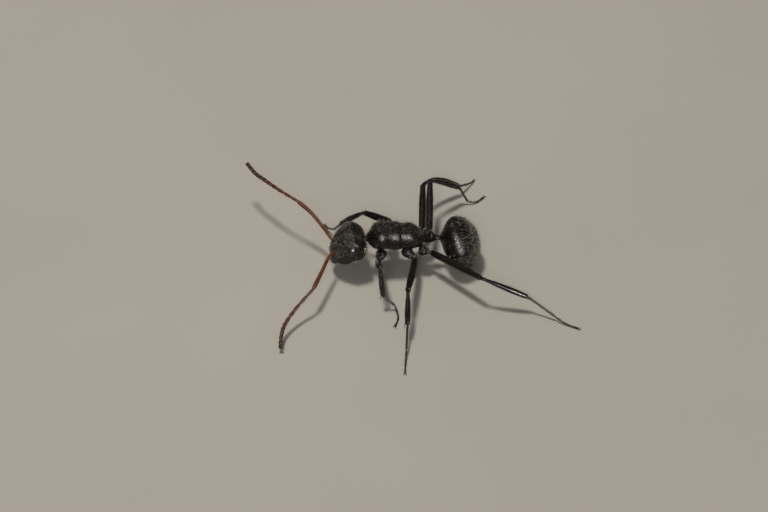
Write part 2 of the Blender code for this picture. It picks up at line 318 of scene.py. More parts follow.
def trunk_surface(t, turn):
    """The trunk's skin, with its two grooves, the slanting side seam and the spiracles."""
    y, height, half, rise, drop = flowing(TRUNK_STATIONS, t).T
    angle = math.tau * turn
    across, above = np.cos(angle), np.sin(angle)
    below = np.clip(-above, 0.0, 1.0)
    groove = 0.035 * bump_at(y, -0.50 + 0.07 * (1 - above), 0.035)
    waist = 0.07 * bump_at(y, 0.29 + 0.06 * below, 0.05) * (0.25 + 0.9 * below)
    seam = 0.045 * bump_at(y, -0.30 + 0.62 * (height - 0.25 - above * 0.5 - 1.6), 0.03)
    seam = seam * rise_between(below, 0.15, 0.4) * rise_between(0.5 - y, 0.0, 0.2)
    size = 1.0 - groove - waist - seam
    x = half * across * size * (1.0 - 0.20 * below ** 2)
    z = height + np.where(above > 0, rise, drop) * above * size
    hole = np.hypot(y - SPIRACLE[0], z - SPIRACLE[1]) / SPIRACLE_SIZE
    x = x * (1.0 - 0.05 * np.exp(-hole ** 4) + 0.03 * np.exp(-((hole - 1.5) / 0.5) ** 2))
    return np.stack([x, y, z], -1)


SOOT, WORN_SOOT = (0.0036, 0.0031, 0.0027), (0.0145, 0.0120, 0.0098)
SHELL = shell_finish("body_shell", SOOT, WORN_SOOT, roughness=0.24, cell=0.030, depth=0.0075,
                     gloss=0.30, net_share=0.20)
PALE_HAIR = hair_finish("pale_hair", (0.13, 0.112, 0.082), (0.40, 0.35, 0.27), 0.38)
skin("trunk_shell", trunk_surface, 170, 128, SHELL, "body_shell",
     "pronotum", "mesothorax", "propodeum")


def backward(spots):
    """Hairs lean to the rear."""
    return np.tile([0.0, 1.0, -0.15], (len(spots), 1))


def thinner_below(spots, normal):
    return 0.35 + 0.65 * rise_between(normal[:, 2], -0.6, 0.6)


def on_top(spots, normal):
    return rise_between(normal[:, 2], 0.35, 0.9)


coat("trunk_down", trunk_surface, 1200, thinner_below, backward, length=0.09, lift=15.0,
     width=0.006, finish=PALE_HAIR, seed=11)
coat("trunk_bristles", trunk_surface, 230, on_top, backward, length=0.21, lift=72.0,
     width=0.013, finish=PALE_HAIR, seed=12, spread=0.6)

# ---------------------------------------------------------------------------------------
# Neck and waist.  The neck is a short ringed tube between head and trunk; the petiole is
# a low upright scale on a narrow stalk, with a few bristles.  Both are of the same black
# shell as the trunk, but duller.
NECK_STATIONS = (
    # y, middle height, radius
    (-1.66, 2.00, 0.05), (-1.62, 2.00, 0.15), (-1.56, 1.99, 0.165), (-1.52, 1.985, 0.150),
    (-1.46, 1.98, 0.17), (-1.40, 1.97, 0.16), (-1.36, 1.97, 0.05))
PETIOLE_STATIONS = (
    # y, middle height, half width, half height
    (1.38, 1.68, 0.02, 0.02), (1.40, 1.68, 0.12, 0.12), (1.52, 1.70, 0.16, 0.15),
    (1.64, 1.76, 0.21, 0.25), (1.76, 1.845, 0.245, 0.335), (1.86, 1.86, 0.235, 0.33),
    (1.94, 1.81, 0.19, 0.23), (2.04, 1.77, 0.145, 0.15), (2.20, 1.76, 0.13, 0.13),
    (2.40, 1.76, 0.13, 0.13), (2.42, 1.76, 0.02, 0.02))


def neck_surface(t, turn):
    y, height, size = flowing(NECK_STATIONS, t).T
    angle = math.tau * turn
    return np.stack([size * np.cos(angle), y, height + size * np.sin(angle)], -1)


def petiole_surface(t, turn):
    y, height, half, tall = flowing(PETIOLE_STATIONS, t).T
    angle = math.tau * turn
    above = np.sin(angle)
    peak = 1.0 - 0.18 * np.clip(above, 0, 1) ** 3
    return np.stack([half * np.cos(angle) * peak, y, height + tall * above], -1)


def on_scale(spots, normal):
    return rise_between(normal[:, 2], 0.2, 0.9) * rise_between(spots[:, 1], 1.55, 1.7)


DULL_SHELL = shell_finish("dull_shell", SOOT, WORN_SOOT, roughness=0.44, cell=0.030,
                          depth=0.0060, gloss=0.20, net_share=0.20)
skin("neck_shell", neck_surface, 40, 48, DULL_SHELL, "body_shell", "neck")
skin("petiole_shell", petiole_surface, 90, 64, DULL_SHELL, "body_shell", "petiole")
coat("petiole_bristles", petiole_surface, 46, on_scale, backward, length=0.17, lift=65.0,
     width=0.012, finish=PALE_HAIR, seed=21, spread=0.5)

# ---------------------------------------------------------------------------------------
# Gaster.  Five overlapping rings of thin black plate, each slipping under the one before
# it.  Pale golden hairs fan out from the waist, thick on the rear half and few in front.
GASTER_MIDDLE = np.array([0.165, 3.285, 1.555])
GASTER_PITCH, GASTER_YAW = math.radians(69.0), math.radians(-17.0)
GASTER_HALF = (1.50, 1.28, 0.905)
GASTER_FRONT_TAPER = 0.22
GASTER_END = 0.999999
GASTER_EDGES = (-GASTER_END, -0.28, 0.14, 0.50, 0.80, GASTER_END)
GASTER_PLATES = len(GASTER_EDGES) - 1
PLATE_STEP = 0.034
PLATE_TUCK = 0.05
PLATE_INSIDE = 0.08
# How far the hind edge of a plate draws in and how far it slips back, round its roll.
PLATE_ROLL = ((0.004, 0.004), (0.012, 0.005), (0.03, 0.0), (0.05, -0.02))
PLATE_POINTS = 144
COAT_DEPTH = 0.03
WAIST_END = np.array([0.03, 2.25, 1.76])


def turned(vector, yaw):
    """A direction turned about the upright by an angle."""
    return np.array([vector[0] * math.cos(yaw) - vector[1] * math.sin(yaw),
                     vector[0] * math.sin(yaw) + vector[1] * math.cos(yaw), vector[2]])


GASTER_AXIS = turned((0.0, math.cos(GASTER_PITCH), -math.sin(GASTER_PITCH)), GASTER_YAW)
GASTER_CROWN = turned((0.0, math.sin(GASTER_PITCH), math.cos(GASTER_PITCH)), GASTER_YAW)
GASTER_SIDE = turned((1.0, 0.0, 0.0), GASTER_YAW)


def gaster_ring(part, turn, shrink=0.0, step=True):
    """Points of the gaster at `part` of its half length, -1 at the front to 1 at the tip.

    With `step`, each plate starts a little narrower than the edge it comes out from.
    """
    long, wide, tall = (half - COAT_DEPTH for half in GASTER_HALF)
    size = np.sqrt(np.clip(1 - part ** 2, 0, 1))
    size = size * (1 - GASTER_FRONT_TAPER * np.clip(-part, 0, 1))
    if step:
        for edge in GASTER_EDGES[1:-1]:
            past = part - edge
            size = size * (1 - PLATE_STEP * np.exp(-np.clip(past, 0, 9) / 0.12) * (past > 0))
    size = size * (1 - shrink)
    angle = math.tau * turn
    spots = (GASTER_MIDDLE + (long * part)[:, None] * GASTER_AXIS
             + (wide * size * np.cos(angle))[:, None] * GASTER_SIDE
             + (tall * size * np.sin(angle))[:, None] * GASTER_CROWN)
    # The front is drawn out to meet the waist.
    near = np.linalg.norm((spots - WAIST_END) * (1.0, 0.6, 1.0), axis=1)
    return spots - np.outer(0.16 * np.exp(-(near / 0.42) ** 2), (0.0, 1.0, 0.0))


def gaster_surface(t, turn):
    return gaster_ring(-np.cos(math.pi * t), turn)


def gaster_plate(number, front, back):
    """A band of plate with a rolled hind edge and a thin inner wall, closed all round."""
    around = PLATE_POINTS
    start, stop = math.acos(-front), math.acos(-back)
    if number > 1:
        start -= PLATE_TUCK
    rows = max(16, int(46 * (stop - start)))
    turn = np.arange(around) / around
    rings = []
    for step in np.linspace(start, stop, rows):
        part = np.full(around, -math.cos(step))
        under = PLATE_STEP if number > 1 and part[0] < front else 0.0
        rings.append(gaster_ring(np.minimum(part, back - 1e-6), turn, under))
    edge = np.full(around, back)
    for shrink, slip in PLATE_ROLL:
        part = np.clip(edge + slip * (number < GASTER_PLATES), -GASTER_END, GASTER_END)
        rings.append(gaster_ring(part, turn, shrink, step=False))
    rings.append(gaster_ring(np.full(around, -math.cos(start)), turn, PLATE_INSIDE))
    count = len(rings)
    row, col = np.meshgrid(np.arange(count), np.arange(around), indexing="ij")
    below, after = (row + 1) % count, (col + 1) % around
    quads = np.stack([row * around + col, row * around + after,
                      below * around + after, below * around + col], -1).reshape(-1, 4)
    points = np.vstack(rings)
    faces = facing_out(points, [quads])
    return piece("gaster_plate_%d" % number, points, faces, SHELL,
                 ("gaster_%d" % number,))


for plate, (front_edge, back_edge) in enumerate(zip(GASTER_EDGES, GASTER_EDGES[1:]), start=1):
    gaster_plate(plate, front_edge, back_edge)


def from_waist(spots):
    """Gaster hairs fan out from where the waist joins."""
    return unit(spots - WAIST_END)


def rear_down(spots, normal):
    """Hairs grow thick away from the waist and keep clear of the floor."""
    far = np.linalg.norm(spots - WAIST_END, axis=1)
    clear = rise_between(spots[:, 2], 0.30, 0.40)
    return (0.03 + 0.97 * rise_between(far, 0.95, 1.9)) * clear


GOLD_HAIR = hair_finish("gold_hair", (0.13, 0.11, 0.075), (0.68, 0.62, 0.50), 0.27)
coat("gaster_down", gaster_surface, 720, rear_down, from_waist, length=0.20, lift=14.0,
     width=0.0155, finish=GOLD_HAIR, seed=31, spread=0.07)
coat("gaster_bristles", gaster_surface, 220, rear_down, from_waist, length=0.24, lift=38.0,
     width=0.015, finish=GOLD_HAIR, seed=32, spread=0.08)

# ---------------------------------------------------------------------------------------
# Head.  One hard capsule of netted black shell, broad and squared behind and narrower at
# the mouth, hung face down from the neck.  Its face carries the clypeus plate, two winding
# ridges and the feeler sockets beside them, under short down and a few bristles.
HEAD_MIDDLE = np.array([0.0, -2.40, 1.66])
HEAD_PITCH, HEAD_YAW = math.radians(51.0), math.radians(5.0)
HEAD_AXIS = turned((0.0, -math.cos(HEAD_PITCH), -math.sin(HEAD_PITCH)), HEAD_YAW)
HEAD_CROWN = turned((0.0, -math.sin(HEAD_PITCH), math.cos(HEAD_PITCH)), HEAD_YAW)
HEAD_SIDE = turned((1.0, 0.0, 0.0), HEAD_YAW)
HEAD_STATIONS = (
    # along the head from the neck to the mouth, half width, half depth, lift
    (-0.945, 0.02, 0.02, -0.08), (-0.94, 0.28, 0.18, -0.08), (-0.925, 0.57, 0.36, -0.08),
    (-0.87, 0.79, 0.50, -0.08), (-0.74, 0.91, 0.63, -0.055), (-0.50, 0.955, 0.745, -0.055),
    (-0.05, 0.95, 0.80, -0.08), (0.33, 0.84, 0.72, -0.08), (0.64, 0.70, 0.61, -0.095),
    (0.84, 0.58, 0.48, -0.065), (0.925, 0.45, 0.35, -0.05), (0.955, 0.22, 0.16, -0.04),
    (0.96, 0.02, 0.02, -0.03))
HEAD_ROUNDNESS = 0.82
SOCKET = (0.47, 0.36)           # along the head, aside
EYE_PLACE = (-0.27, 0.14)       # along the head, towards its crown
EYE_ASIDE = 0.86
EYE_FACING = (0.97, 0.24)       # aside, towards the crown
EYE_HALF = (0.29, 0.25, 0.17)   # half sizes along, across and outward


def head_place(along, aside, crown):
    """From the head's own directions to the ant's."""
    return (HEAD_MIDDLE + np.multiply.outer(along, HEAD_AXIS)
            + np.multiply.outer(aside, HEAD_SIDE) + np.multiply.outer(crown, HEAD_CROWN))


def head_local(t, turn):
    """The head's skin in its own directions: along to the mouth, aside, and to its crown."""
    along, wide, deep, lift = flowing(HEAD_STATIONS, t).T
    angle = math.tau * turn
    cos, sin = np.cos(angle), np.sin(angle)
    aside = wide * np.sign(cos) * np.abs(cos) ** HEAD_ROUNDNESS
    crown = lift + deep * np.sign(sin) * np.abs(sin) ** HEAD_ROUNDNESS
    # The cheeks swell at their under edges.
    jowl = (rise_between(-sin, 0.15, 0.55) * bump_at(np.abs(cos), 0.70, 0.30)
            * bump_at(along, -0.26, 0.34))
    aside = aside * (1 + 0.11 * jowl)
    crown = lift + (crown - lift) * (1 + 0.11 * jowl)
    face = rise_between(sin, 0.12, 0.45)
    off = np.abs(aside)
    # Clypeus: the keeled plate over the mouth, with a groove behind it.
    clypeus = (rise_between(along, 0.50, 0.56) * rise_between(0.44 - off, 0.0, 0.05)
               * (0.045 + 0.016 * bump_at(off, 0.0, 0.05)))
    behind = -0.022 * bump_at(along, 0.475, 0.022) * rise_between(0.46 - off, 0.0, 0.1)
    # Two winding ridges between the feelers, a fine line between them, the feeler sockets
    # and the hollows beside the ridges where the scapes lie back.
    track = 0.19 + 0.13 * np.sin(math.pi * np.clip((0.50 - along) / 0.75, 0, 1)) ** 1.2
    ridge = 0.050 * bump_at(off, track, 0.040)
    ridge = ridge * rise_between(along, -0.32, -0.1) * rise_between(0.48 - along, 0.0, 0.08)
    line = -0.014 * bump_at(off, 0.0, 0.016) * rise_between(along, -0.45, -0.2)
    line = line * rise_between(0.42 - along, 0.0, 0.1)
    from_socket = np.hypot(along - SOCKET[0], off - SOCKET[1])
    socket = -0.10 * np.exp(-(from_socket / 0.095) ** 4)
    socket = socket + 0.03 * bump_at(from_socket, 0.135, 0.03)
    scrobe = -0.055 * bump_at(off, track + 0.11, 0.07) * rise_between(along, -0.15, 0.15)
    scrobe = scrobe * rise_between(0.50 - along, 0.0, 0.1)
    crown = crown + face * (clypeus + behind + ridge + line + socket + scrobe)
    # The nape is hollowed for the neck, the mouth notched and the throat lined.
    nape = bump_at(off, 0.0, 0.42) * rise_between(-0.60 - along, 0.0, 0.30)
    along = along + 0.13 * nape
    mouth = rise_between(along, 0.72, 0.88) * rise_between(-sin, -0.2, 0.3)
    along = along - 0.06 * mouth * bump_at(off, 0.0, 0.3)
    throat = -0.018 * bump_at(off, 0.0, 0.02) * rise_between(-sin, 0.3, 0.7)
    crown = crown - throat * rise_between(0.6 - along, 0.0, 0.2)
    # A shallow groove runs round each eye.
    from_eye = np.hypot((along - EYE_PLACE[0]) / EYE_HALF[0],
                        (crown - EYE_PLACE[1]) / EYE_HALF[1])
    beside = rise_between(np.abs(cos), 0.55, 0.8)
    aside = aside * (1 - beside * (0.022 * bump_at(from_eye, 1.12, 0.10)))
    return along, aside, crown


def head_surface(t, turn):
    return head_place(*head_local(t, turn))


HEAD_SHELL = shell_finish("head_shell", SOOT, WORN_SOOT, roughness=0.29, cell=0.030,
                          depth=0.0075, gloss=0.28, net_share=0.20)
skin("head_capsule", head_surface, 190, 176, HEAD_SHELL, "body_shell", "head")


def down_face(spots):
    """Head hairs point down the face to the mouth."""
    return np.tile(HEAD_AXIS, (len(spots), 1))


def on_face(spots, normal):
    """Down thins out on the lower face and under the head."""
    along = (spots - HEAD_MIDDLE) @ HEAD_AXIS
    upper = 1.0 - 0.9 * rise_between(along, -0.05, 0.35)
    return (0.35 + 0.65 * rise_between(normal @ HEAD_CROWN, -0.4, 0.5)) * upper


def under_cheek(spots, normal):
    along = (spots - HEAD_MIDDLE) @ HEAD_AXIS
    facing = rise_between(-(normal @ HEAD_CROWN), 0.12, 0.60)
    return facing * rise_between(0.45 - along, 0.0, 0.4)


def on_brow(spots, normal):
    along = (spots - HEAD_MIDDLE) @ HEAD_AXIS
    aside = np.abs((spots - HEAD_MIDDLE) @ HEAD_SIDE)
    facing = rise_between(normal @ HEAD_CROWN, 0.3, 0.7)
    return facing * bump_at(along, -0.25, 0.38) * bump_at(aside, 0.0, 0.60)


def face_only(spots, normal):
    return rise_between(normal @ HEAD_CROWN, 0.1, 0.7)


WHITE_HAIR = hair_finish("white_hair", (0.46, 0.42, 0.34), (0.80, 0.75, 0.64), 0.4)
BROW_HAIR = hair_finish("brow_hair", (0.32, 0.27, 0.22), (0.92, 0.81, 0.67), 0.35)
coat("head_down", head_surface, 1300, on_face, down_face, length=0.075, lift=15.0, width=0.006,
     finish=PALE_HAIR, seed=41, spread=0.35)
coat("brow_down", head_surface, 640, on_brow, down_face, length=0.085, lift=20.0, width=0.012,
     finish=BROW_HAIR, seed=45, spread=0.5)
coat("head_bristles", head_surface, 130, face_only, down_face, length=0.16, lift=62.0,
     width=0.012, finish=PALE_HAIR, seed=42, spread=0.5)
coat("cheek_bristles", head_surface, 250, under_cheek, down_face, length=0.18, lift=42.0,
     width=0.021, finish=WHITE_HAIR, seed=43, spread=0.3)

# ---------------------------------------------------------------------------------------
# Eyes.  Two compound eyes: low glossy black domes of many tiny lenses, each let into the
# side of the head with a shallow groove round it.
EYE = shell_finish("eye_lenses", (0.002, 0.002, 0.002), (0.006, 0.0055, 0.005), roughness=0.27,
                   cell=0.022, depth=0.0012, gloss=0.8)


def eye_skin(word, sign):
    """One eye, a flattened dome that looks outward."""
    outward = unit(HEAD_SIDE * sign * EYE_FACING[0] + HEAD_CROWN * EYE_FACING[1])
    over = np.cross(HEAD_AXIS, outward)
    middle = head_place(EYE_PLACE[0], EYE_ASIDE * sign, EYE_PLACE[1])

    def surface(t, turn):
        reach = -np.cos(math.pi * t)
        size = np.sin(math.pi * t)
        angle = math.tau * turn
        return (middle + np.multiply.outer(reach * EYE_HALF[2], outward)
                + np.multiply.outer(size * np.cos(angle) * EYE_HALF[0], HEAD_AXIS)
                + np.multiply.outer(size * np.sin(angle) * EYE_HALF[1], over))

    skin("eye_dome_" + word, surface, 48, 64, EYE, "eye", "eye_" + word, ease=0.0)


eye_skin("left", 1.0)
eye_skin("right", -1.0)

# ---------------------------------------------------------------------------------------
# Mandibles.  Two stout dark red-brown blades of hard shell with a row of teeth, hinged at
# the cheeks and shut across the mouth, with a few short bristles.
JAW = shell_finish("jaw_shell", (0.020, 0.011, 0.008), (0.060, 0.026, 0.015), roughness=0.30,
                   cell=0.030, depth=0.003, gloss=0.55)
JAW_TEETH = 5


def jaw_front(spots, normal):
    return rise_between(normal @ HEAD_CROWN, 0.2, 0.8)


def jaw_skin(word, sign):
    """One mandible: a blade that narrows and curves in to its tip, toothed on the inside."""
    def surface(t, turn):
        along = 0.84 + 0.47 * t
        outer = 0.50 - 0.10 * t - 0.33 * t ** 3
        inner = 0.16 - 0.172 * rise_between(t, 0.0, 0.3)
        bite = rise_between(t, 0.28, 0.32)
        saw = np.abs(((t - 0.30) / 0.70 * JAW_TEETH + 0.5 * (sign > 0)) % 1.0 - 0.5) * 2
        inner = inner + 0.030 * bite * saw
        half = np.maximum((outer - inner) / 2, 0.002)
        thick = 0.12 * (1 - 0.55 * t) * np.sqrt(np.clip(1 - t ** 6, 0, 1))
        cap = np.sqrt(np.clip(1 - (1 - np.clip(t / 0.06, 0, 1)) ** 2, 0, 1))
        angle = math.tau * turn
        aside = (outer + inner) / 2 + half * np.cos(angle) * cap
        crown = -0.04 + 0.05 * t + thick * np.sin(angle) * cap
        crown = crown + 0.05 * ((outer + inner) / 2 - aside) * t
        return head_place(along, aside * sign, crown)

    skin("jaw_" + word, surface, 90, 40, JAW, "body_shell", "mandible_" + word, ease=0.2)
    coat("jaw_bristles_" + word, surface, 26, jaw_front, down_face, length=0.12, lift=40.0,
         width=0.010, finish=PALE_HAIR, seed=44 + int(sign), spread=0.3)


jaw_skin("left", 1.0)
jaw_skin("right", -1.0)

# ---------------------------------------------------------------------------------------
# Palps.  Four short mouth feelers of thin black-brown shell, five joints each, hung under
# the jaws.  Like every leg and feeler they are chains of stiff hollow tubes.
PALP_ROOT = (0.74, -0.36)                # along the head, towards its crown
PALPS = ((0.13, 0.105), (0.05, 0.07))    # aside at the root, length of one joint
PALP_JOINTS = 5
PALP_SIZES = ((0.0, 0.016), (0.7, 0.022), (1.0, 0.016))


def limb_surface(spots, sizes):
    """A tube along a smooth path; sizes are (place, radius), and both ends are rounded."""
    spots = np.array(spots, float)
    length = np.linalg.norm(np.diff(spots, axis=0), axis=1).sum()
    straight = unit(spots[-1] - spots[0])
    guide = np.array([0.0, 0.0, 1.0]) if abs(straight[2]) < 0.8 else np.array([0.0, 1.0, 0.0])
    places, radii = np.array(sizes, float).T

    def surface(t, turn):
        middle = flowing(spots, t)
        way = unit(flowing(spots, t + 1e-3) - flowing(spots, t - 1e-3))
        side = unit(np.cross(way, guide))
        over = np.cross(side, way)
        k = np.clip(np.searchsorted(places, t, side="right") - 1, 0, len(places) - 2)
        share = rise_between((t - places[k]) / (places[k + 1] - places[k]), 0.0, 1.0)
        radius = radii[k] + (radii[k + 1] - radii[k]) * share
        near = np.clip(t * length / radii[0], 0, 1)
        far = np.clip((1 - t) * length / radii[-1], 0, 1)
        radius = radius * np.sqrt(1 - (1 - near) ** 2) * np.sqrt(1 - (1 - far) ** 2)
        angle = math.tau * turn
        return (middle + (radius * np.cos(angle))[:, None] * side
                + (radius * np.sin(angle))[:, None] * over)

    return surface


def core(spots, radius):
    """The soft thread that joins a row of rings."""
    return limb_surface(spots, ((0.0, radius), (1.0, radius)))


def joined_skins(name, surfaces, along, around, finish, slot, *nodes):
    """Several tubes as one piece."""
    points, faces, base = [], [[], []], 0
    for surface in surfaces:
        made, (quads, first, last) = skin_grid(surface, along, around, 0.6)
        quads, first, last = facing_out(made, [quads, first, last])
        points.append(made)
        faces[0].append(quads + base)
        faces[1] += [first + base, last + base]
        base += len(made)
    return piece(name, np.vstack(points), [np.vstack(faces[0]), np.vstack(faces[1])],
                 finish, nodes)


LEG_SHELL = shell_finish("leg_shell", (0.0035, 0.0027, 0.0022), (0.014, 0.0075, 0.0050),
                         roughness=0.22, cell=0.026, depth=0.0014, gloss=0.38, patches=700.0)
palps = []
for sign in (1.0, -1.0):
    for start_aside, reach in PALPS:
        joints = [head_place(PALP_ROOT[0], start_aside * sign, PALP_ROOT[1])]
        for joint in range(PALP_JOINTS):
            bend = 0.5 + 0.45 * joint
            joints.append(joints[-1] + reach * (HEAD_AXIS * math.cos(bend) - HEAD_CROWN
                                                * math.sin(bend) + HEAD_SIDE * 0.12 * sign))
        palps += [limb_surface(pair, PALP_SIZES) for pair in zip(joints, joints[1:])]
joined_skins("palps", palps, 8, 10, LEG_SHELL, "leg_shell")

# ---------------------------------------------------------------------------------------
# Legs.  Each is a hairy coxa with a small trochanter ring, a long femur, a tibia that
# swells towards its end and carries a spur, a basitarsus and four short foot rings with
# two claws.  Black-brown shell, redder towards the feet.
LEGS = {
    # hip, trochanter, knee, ankle, end of the basitarsus, then the points of the foot
    "front_left": ((0.40, -0.62, 1.55), (0.80, -0.90, 1.14), (2.52, -0.99, 2.47),
                   (2.97, -0.85, 0.84), (3.13, -0.30, 0.32), (3.56, -0.18, 0.15),
                   (3.96, -0.22, 0.07), (4.33, -0.39, 0.052)),
    "front_right": ((-0.52, -0.38, 1.62), (-1.31, -0.06, 1.72), (-1.05, -1.44, 2.77),
                    (-1.68, -2.60, 1.45), (-2.20, -2.91, 0.60), (-2.66, -3.15, 0.25),
                    (-3.12, -3.30, 0.052)),
    "middle_left": ((0.34, 0.36, 1.48), (0.80, 0.96, 1.15), (3.48, 0.33, 1.65),
                    (5.11, 0.16, 0.90), (6.20, 0.01, 0.34), (6.89, -0.10, 0.12),
                    (7.55, -0.18, 0.052)),
    "middle_right": ((-0.45, 0.75, 1.45), (-1.15, 1.47, 1.10), (-3.84, 1.76, 1.75),
                     (-4.77, 3.72, 0.60), (-5.25, 4.20, 0.24), (-5.52, 4.47, 0.10),
                     (-5.71, 4.58, 0.052)),
    "hind_left": ((0.44, 1.15, 1.45), (0.52, 1.74, 1.28), (3.03, 4.02, 1.74),
                  (3.75, 6.27, 0.95), (4.53, 7.56, 0.24), (4.81, 7.88, 0.14),
                  (5.05, 8.23, 0.08), (5.29, 8.67, 0.052)),
    "hind_right": ((-0.38, 1.28, 1.58), (-0.79, 1.80, 1.42), (-3.50, 2.09, 2.35),
                   (-4.21, 3.67, 1.05), (-4.03, 4.08, 0.22), (-4.02, 4.34, 0.12),
                   (-4.14, 4.65, 0.07), (-4.45, 4.98, 0.052)),
}
# The radius of each joint at places from its near end, 0, to its far end, 1.
COXA_SIZES = ((0.0, 0.25), (0.35, 0.285), (0.68, 0.21), (0.80, 0.140), (0.83, 0.130),
              (0.92, 0.150), (1.0, 0.125))
FEMUR_SIZES = ((0.0, 0.100), (0.04, 0.130), (0.18, 0.178), (0.55, 0.185), (0.90, 0.140),
               (0.96, 0.145), (1.0, 0.115))
# How far a tibia bows from straight, out and up by the same share.
TIBIA_BOW = 0.05
TIBIA_BOWS = {"middle_right": 0.29}
BOW_SHARE = 0.707
TIBIA_SIZES = ((0.0, 0.085), (0.05, 0.095), (0.12, 0.085), (0.35, 0.125), (0.66, 0.150),
               (0.93, 0.130), (1.0, 0.100))
SHIN_SIZES = ((0.0, 0.052), (0.06, 0.060), (0.5, 0.052), (0.92, 0.060), (1.0, 0.050))
FOOT_SHARES = (0.0, 0.30, 0.50, 0.66, 1.0)
FOOT_SIZES = ((0.0, 0.026), (0.12, 0.036), (0.85, 0.052), (1.0, 0.036))
FOOT_THREAD = 0.028
SPUR_SIZES = ((0.0, 0.022), (0.5, 0.016), (1.0, 0.005))
CLAW_SIZES = ((0.0, 0.018), (0.5, 0.013), (1.0, 0.004))
CLAW_REACH = 0.13
FOOT_SHELL = shell_finish("foot_shell", (0.012, 0.007, 0.0045), (0.045, 0.020, 0.010),
                          roughness=0.30, cell=0.020, depth=0.003, patches=1200.0)


def downhill(start, end):
    """Limb hairs lean from the body end to the far end."""
    way = unit(np.array(end) - np.array(start))

    def lie(spots):
        return np.tile(way, (len(spots), 1))

    return lie


def everywhere(spots, normal):
    return np.ones(len(spots))


def claw(root, way, out):
    """A curved claw from the end of a foot."""
    arch = np.array([0, 0, 0.02])
    mid = root + way * CLAW_REACH * 0.6 + out * CLAW_REACH * 0.45 + arch
    tip = root + way * CLAW_REACH * 0.85 + out * CLAW_REACH * 0.75 - arch
    return limb_surface((root, mid, tip), CLAW_SIZES)


def leg(word, joints, seed):
    """All the pieces of one leg and their hairs."""
    hip, ring, knee, ankle, heel = (np.array(joint) for joint in joints[:5])
    foot = np.array(joints[4:])
    coxa = limb_surface((hip, (hip + ring) / 2, ring), COXA_SIZES)
    skin("coxa_shell_" + word, coxa, 44, 40, DULL_SHELL, "leg_shell", "coxa_" + word)
    femur = limb_surface((ring, knee), FEMUR_SIZES)
    skin("femur_shell_" + word, femur, 52, 36, LEG_SHELL, "leg_shell", "femur_" + word)
    outward = np.sign(hip[0])
    bow = TIBIA_BOWS.get(word, TIBIA_BOW) * np.array([BOW_SHARE * outward, 0.0, BOW_SHARE])
    bends = [knee + (ankle - knee) * part + bow * math.sin(math.pi * part ** 0.75)
             for part in (0.0, 0.2, 0.4, 0.6, 0.8, 1.0)]
    tibia = limb_surface(bends, TIBIA_SIZES)
    way = unit(ankle - knee)
    out = unit(np.cross(way, (0.0, 0.0, 1.0)))
    spur = limb_surface((ankle - way * 0.10 + out * 0.07, ankle + way * 0.04 + out * 0.14,
                         ankle + way * 0.17 + out * 0.15), SPUR_SIZES)
    joined_skins("tibia_shell_" + word, (tibia, spur), 46, 30, LEG_SHELL, "leg_shell",
                 "tibia_" + word)
    shin = limb_surface((ankle, heel), SHIN_SIZES)
    skin("basitarsus_shell_" + word, shin, 34, 24, FOOT_SHELL, "leg_shell",
         "basitarsus_" + word)
    rings = []
    for start, stop in zip(FOOT_SHARES, FOOT_SHARES[1:]):
        spots = flowing(foot, np.array([start, (start + stop) / 2, stop]))
        rings.append(limb_surface(spots, FOOT_SIZES))
    rings.append(core(foot, FOOT_THREAD))
    way = unit((foot[-1] - foot[-2]) * (1.0, 1.0, 0.0))
    out = unit(np.cross(way, (0.0, 0.0, 1.0)))
    rings += [claw(foot[-1] - way * 0.02, way, out), claw(foot[-1] - way * 0.02, way, -out)]
    joined_skins("foot_shell_" + word, rings, 20, 18, FOOT_SHELL, "leg_shell", "foot_" + word)
    coat("coxa_hair_" + word, coxa, 90, everywhere, downhill(hip, ring), length=0.13,
         lift=38.0, width=0.017, finish=WHITE_HAIR, seed=seed)
    coat("femur_hair_" + word, femur, 110, everywhere, downhill(ring, knee), length=0.10,
         lift=22.0, width=0.007, finish=PALE_HAIR, seed=seed + 1)
    coat("tibia_hair_" + word, tibia, 140, everywhere, downhill(knee, ankle), length=0.10,
         lift=26.0, width=0.007, finish=PALE_HAIR, seed=seed + 2)
    coat("shin_hair_" + word, shin, 110, everywhere, downhill(ankle, heel), length=0.08,
         lift=30.0, width=0.008, finish=PALE_HAIR, seed=seed + 3)


for count, (word, joints) in enumerate(LEGS.items()):
    leg(word, joints, 100 + 10 * count)

# ---------------------------------------------------------------------------------------
# Feelers.  A long scape from the socket to the elbow, then the whip: eleven barrel-shaped
# rings, the first of them the pedicel, on an inner thread.  Thin red-brown shell, darker
# to the tip, with a velvet of down.
FEELERS = {
    # socket, its mouth, bend of the scape, elbow, then along the whip
    "left": ((0.37, -3.05, 1.57), (0.48, -3.16, 1.585), (0.78, -3.385, 1.62),
             (2.82, -4.32, 1.49), (3.61, -5.23, 1.02),
             (4.33, -5.82, 0.72), (4.90, -6.05, 0.52), (5.59, -6.15, 0.30)),
    "right": ((-0.31, -3.03, 1.56), (-0.44, -3.16, 1.66), (-1.10, -3.52, 1.87),
              (-2.395, -4.71, 2.565),
              (-3.22, -5.54, 2.58), (-4.07, -6.22, 2.51), (-4.67, -6.68, 2.47),
              (-5.46, -7.06, 2.46)),
}
